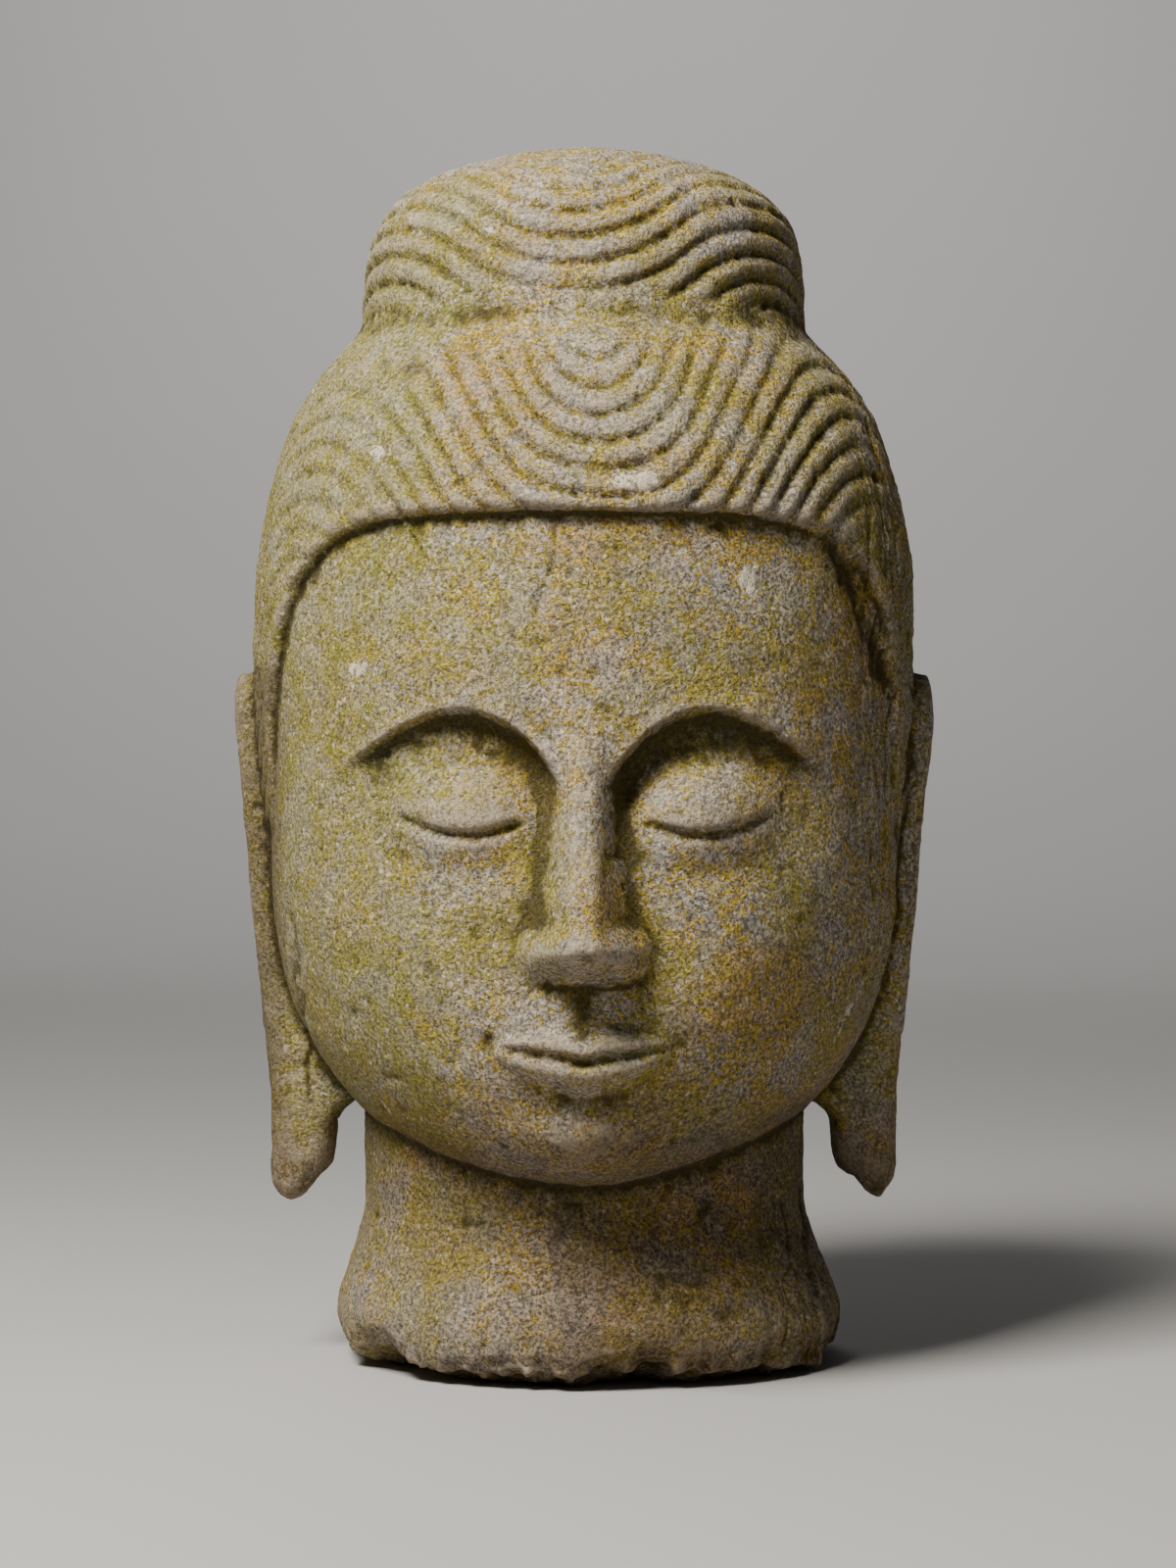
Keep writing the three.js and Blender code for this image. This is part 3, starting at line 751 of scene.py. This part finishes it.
    relief = n.maths("ADD", n.maths("MULTIPLY", crumb, 0.45), fine)
    grain_bump = n.add("ShaderNodeBump", {"Height": relief, "Strength": 0.75, "Distance": 0.0011})
    pits = n.add(
        "ShaderNodeBump",
        {"Height": grit, "Strength": 0.6, "Distance": 0.0028, "Normal": grain_bump.outputs[0]},
    )
    rough = n.between(spark, 0.0, 1.0, 0.88, 0.98)
    shader = n.add(
        "ShaderNodeBsdfPrincipled",
        {"Base Color": base, "Roughness": rough, "Normal": pits.outputs[0], "Specular IOR Level": 0.2},
    )
    n.add("ShaderNodeOutputMaterial", {"Surface": shader.outputs[0]})
    return material


# ---- Settings ---------------------------------------------------------------------------------------------


def colour(name, description, value):
    return bpy.props.FloatVectorProperty(
        name=name, description=description, subtype="COLOR", size=4, min=0, max=1, default=value
    )


class StoneHeadShape(bpy.types.PropertyGroup):
    voxel: bpy.props.FloatProperty(
        name="Carving detail", description="Size of the grid the forms are joined on",
        default=0.00125, min=0.001, max=0.01, unit="LENGTH", precision=5,
    )
    faces: bpy.props.IntProperty(
        name="Triangles", description="Number of triangles the finished head keeps",
        default=190000, min=20000, max=199000,
    )
    weathering: bpy.props.FloatProperty(
        name="Weathering", description="How far wind and rain have roughened the carving",
        default=1.0, min=0, max=2, subtype="FACTOR",
    )


class StoneFinish(bpy.types.PropertyGroup):
    grain_mm: bpy.props.FloatProperty(
        name="Grain", description="Width of a sand grain in millimetres", default=0.95, min=0.3, max=4
    )
    grey_grain: colour("Grey grains", "Colour of the cooler sand grains", (0.345, 0.30, 0.24, 1))
    warm_grain: colour("Warm grains", "Colour of the warmer sand grains", (0.375, 0.305, 0.20, 1))
    cool_grain: colour("Cool patches", "Colour of the cool grey patches of stone", (0.27, 0.25, 0.225, 1))
    iron: colour("Iron stain", "Colour of stone stained by iron", (0.34, 0.205, 0.055, 1))
    ochre_grain: colour("Ochre lichen", "Colour of the ochre crumbs of lichen", (0.40, 0.25, 0.02, 1))
    green_algae: colour("Algae", "Colour of the crumbs and film of algae", (0.25, 0.23, 0.03, 1))
    bright_grain: colour("Bright grains", "Colour of quartz grains and chips", (0.68, 0.60, 0.45, 1))
    gap_dark: colour("Gaps", "Colour between the grains", (0.07, 0.055, 0.03, 1))
    lichen: colour("Mustard lichen", "Colour of the mustard crumbs of lichen", (0.47, 0.36, 0.02, 1))
    # Rubbed edges: the colour of wear and of a painted highlight on sharp ridges.
    rubbed_edge_and_highlight: colour("Rubbed edges", "Colour of rubbed ridges and edges", (0.44, 0.37, 0.27, 1))
    # Stain: also the tint of the painted shade under the chin, on downward faces and away from the key light.
    stain_and_shade: colour("Stain", "Tint of the darker stone of the neck and ear", (0.44, 0.385, 0.34, 1))
    # Dirt: also the colour of the painted shade in the cuts; in cracks and spots it is dirt.
    dirt_and_shade: colour("Dirt", "Colour of dirt in the cuts", (0.040, 0.030, 0.010, 1))


class StageSettings(bpy.types.PropertyGroup):
    distance: bpy.props.FloatProperty(
        name="Camera distance", description="From the camera to the head's upright axis",
        default=1.48, min=0.5, max=10, unit="LENGTH",
    )
    lens: bpy.props.FloatProperty(
        name="Lens", description="Focal length in millimetres", default=85.41, min=20, max=300
    )
    floor_colour: colour("Floor", "Colour of the plain floor and backdrop", (0.43, 0.42, 0.405, 1))
    key_power: bpy.props.FloatProperty(
        name="Key light", description="Power of the large soft light",
        default=60, min=0, max=1000, unit="POWER",
    )


# ---- Operators --------------------------------------------------------------------------------------------


class STONEHEAD_OT_carve(bpy.types.Operator):
    """Carve the head with its face, hair, topknot, ears and broken neck from one block"""

    bl_idname = "stonehead.carve"
    bl_label = "Carve Head"

    def execute(self, context):
        shape = context.scene.stone_head_shape
        bpy.ops.object.select_all(action="DESELECT")
        forms = [
            rough_out("face_form", 420, 380, place_face),
            rough_out("hair_form", 640, 300, place_hair),
            rough_out("topknot_form", 480, 160, place_topknot),
            rough_out("neck_form", 480, 150, place_neck),
            rough_out("ear_form", 140, 200, place_ear),
        ]
        bpy.ops.object.select_all(action="DESELECT")
        forms[-1].select_set(True)
        context.view_layer.objects.active = forms[-1]
        bpy.ops.object.duplicate()
        other_ear = context.object
        bpy.ops.transform.resize(value=(-1, 1, 1), center_override=(0, 0, 0))
        bpy.ops.object.transform_apply(location=False, rotation=False, scale=True)
        bpy.ops.object.mode_set(mode="EDIT")
        bpy.ops.mesh.select_all(action="SELECT")
        bpy.ops.mesh.normals_make_consistent(inside=False)
        bpy.ops.object.mode_set(mode="OBJECT")
        head = join_forms(forms + [other_ear], "carved_head")
        apply_modifier(head, "REMESH", mode="VOXEL", voxel_size=shape.voxel, use_smooth_shade=True)
        weather(head, shape.weathering)
        triangles = sum(len(p.vertices) - 2 for p in head.data.polygons)
        kept = min(1.0, shape.faces / triangles)
        apply_modifier(head, "DECIMATE", ratio=kept, use_collapse_triangulate=True)
        bpy.ops.object.shade_smooth()
        mark_surface(head)
        head.data.materials.clear()
        head.data.materials.append(stone_material(context.scene.stone_finish))
        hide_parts("buddha_head")
        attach(head, "root")
        return {"FINISHED"}


# The stage, in metres: a square floor whose far side curves up into a wall, and the camera's place.
FLOOR_SIZE = 12
WALL_HEIGHT = 6
CURVE = 3.2
FAR_SIDE = 5
CAMERA_SIDEWAYS = 0.0016
CAMERA_HEIGHT = 0.2275
SENSOR_WIDTH_MM = 36


class STONEHEAD_OT_stage(bpy.types.Operator):
    """Set the plain floor, the soft lights and the camera"""

    bl_idname = "stonehead.stage"
    bl_label = "Set Stage"

    def execute(self, context):
        stage = context.scene.stone_head_stage
        bpy.ops.object.select_all(action="DESELECT")
        bpy.ops.mesh.primitive_plane_add(size=FLOOR_SIZE, location=(0, 0, 0))
        floor = context.object
        floor.name = "studio_floor"
        bpy.ops.object.mode_set(mode="EDIT")
        bpy.ops.mesh.select_mode(type="EDGE")
        bpy.ops.mesh.select_all(action="DESELECT")
        bpy.ops.object.mode_set(mode="OBJECT")
        for edge in floor.data.edges:
            ends = [floor.data.vertices[i].co.y for i in edge.vertices]
            edge.select = min(ends) > FAR_SIDE
        bpy.ops.object.mode_set(mode="EDIT")
        bpy.ops.mesh.extrude_region_move(TRANSFORM_OT_translate={"value": (0, 0, WALL_HEIGHT)})
        bpy.ops.mesh.select_all(action="DESELECT")
        bpy.ops.object.mode_set(mode="OBJECT")
        for edge in floor.data.edges:
            ends = [floor.data.vertices[i].co for i in edge.vertices]
            edge.select = all(p.y > FAR_SIDE and abs(p.z) < 0.01 for p in ends)
        bpy.ops.object.mode_set(mode="EDIT")
        bpy.ops.mesh.bevel(offset=CURVE, segments=24, affect="EDGES")
        bpy.ops.object.mode_set(mode="OBJECT")
        bpy.ops.object.shade_smooth()
        paper = bpy.data.materials.new("studio_paper")
        paper.use_nodes = True
        n = Nodes(paper.node_tree)
        place = n.add("ShaderNodeTexCoord").outputs["Object"]
        unevenness = n.between(n.noise(place, 400, 2), 0.3, 0.7, 0, 0.05)
        tone = n.mix(unevenness, stage.floor_colour, (0.5, 0.5, 0.5, 1))
        shader = n.add("ShaderNodeBsdfPrincipled", {"Base Color": tone, "Roughness": 0.9})
        n.add("ShaderNodeOutputMaterial", {"Surface": shader.outputs[0]})
        floor.data.materials.append(paper)

        middle = Vector((0, 0, (HEAD_LOW.z + HEAD_HIGH.z) / 2))
        wall = Vector((0, 6, 0.8))
        lights = (
            ("key_light", (-0.6, -0.83, 1.47), middle, 0.6, stage.key_power, (1.0, 0.97, 0.92)),
            ("fill_light", (1.5, -1.7, 0.9), middle, 1.6, 0.015 * stage.key_power, (0.95, 0.97, 1.0)),
            ("back_light", (-0.6, 1.6, 1.6), middle, 0.8, 0.08 * stage.key_power, (1.0, 1.0, 1.0)),
            ("wall_light", (0, 3.6, 3.4), wall, 2.5, 1.6 * stage.key_power, (1.0, 1.0, 1.0)),
        )
        for name, where, target, size, power, tint in lights:
            bpy.ops.object.light_add(type="AREA", location=where)
            light = context.object
            light.name = name
            light.data.size, light.data.energy, light.data.color = size, power, tint
            light.rotation_euler = (target - Vector(where)).to_track_quat("-Z", "Y").to_euler()
        world = bpy.data.worlds.new("studio_air")
        context.scene.world = world
        world.use_nodes = True
        world.node_tree.nodes["Background"].inputs["Color"].default_value = (0.75, 0.77, 0.8, 1)
        world.node_tree.nodes["Background"].inputs["Strength"].default_value = 0.035

        viewpoint = (CAMERA_SIDEWAYS, -stage.distance, CAMERA_HEIGHT)
        bpy.ops.object.camera_add(location=viewpoint, rotation=(math.pi / 2, 0, 0))
        camera = context.object
        camera.name = "studio_camera"
        camera.data.lens = stage.lens
        camera.data.sensor_width = SENSOR_WIDTH_MM
        context.scene.camera = camera
        return {"FINISHED"}


class STONEHEAD_PT_panel(bpy.types.Panel):
    """Sizes, colours and steps of the stone head"""

    bl_idname = "STONEHEAD_PT_panel"
    bl_label = "Stone Buddha Head"
    bl_space_type = "VIEW_3D"
    bl_region_type = "UI"
    bl_category = "Stone Head"

    def draw(self, context):
        scene = context.scene
        for title, group, operator in (
            ("Head", scene.stone_head_shape, STONEHEAD_OT_carve.bl_idname),
            ("Stone", scene.stone_finish, None),
            ("Stage", scene.stone_head_stage, STONEHEAD_OT_stage.bl_idname),
        ):
            box = self.layout.box()
            box.label(text=title)
            for key in group.__annotations__:
                box.prop(group, key)
            if operator:
                box.operator(operator)


CLASSES = (
    StoneHeadShape, StoneFinish, StageSettings,
    STONEHEAD_OT_carve, STONEHEAD_OT_stage, STONEHEAD_PT_panel,
)


def register():
    for cls in CLASSES:
        bpy.utils.register_class(cls)
    bpy.types.Scene.stone_head_shape = bpy.props.PointerProperty(type=StoneHeadShape)
    bpy.types.Scene.stone_finish = bpy.props.PointerProperty(type=StoneFinish)
    bpy.types.Scene.stone_head_stage = bpy.props.PointerProperty(type=StageSettings)


def unregister():
    del bpy.types.Scene.stone_head_stage
    del bpy.types.Scene.stone_finish
    del bpy.types.Scene.stone_head_shape
    for cls in reversed(CLASSES):
        bpy.utils.unregister_class(cls)


def main():
    register()
    bpy.ops.stonehead.stage()
    bpy.ops.stonehead.carve()


if __name__ == "__main__":
    main()
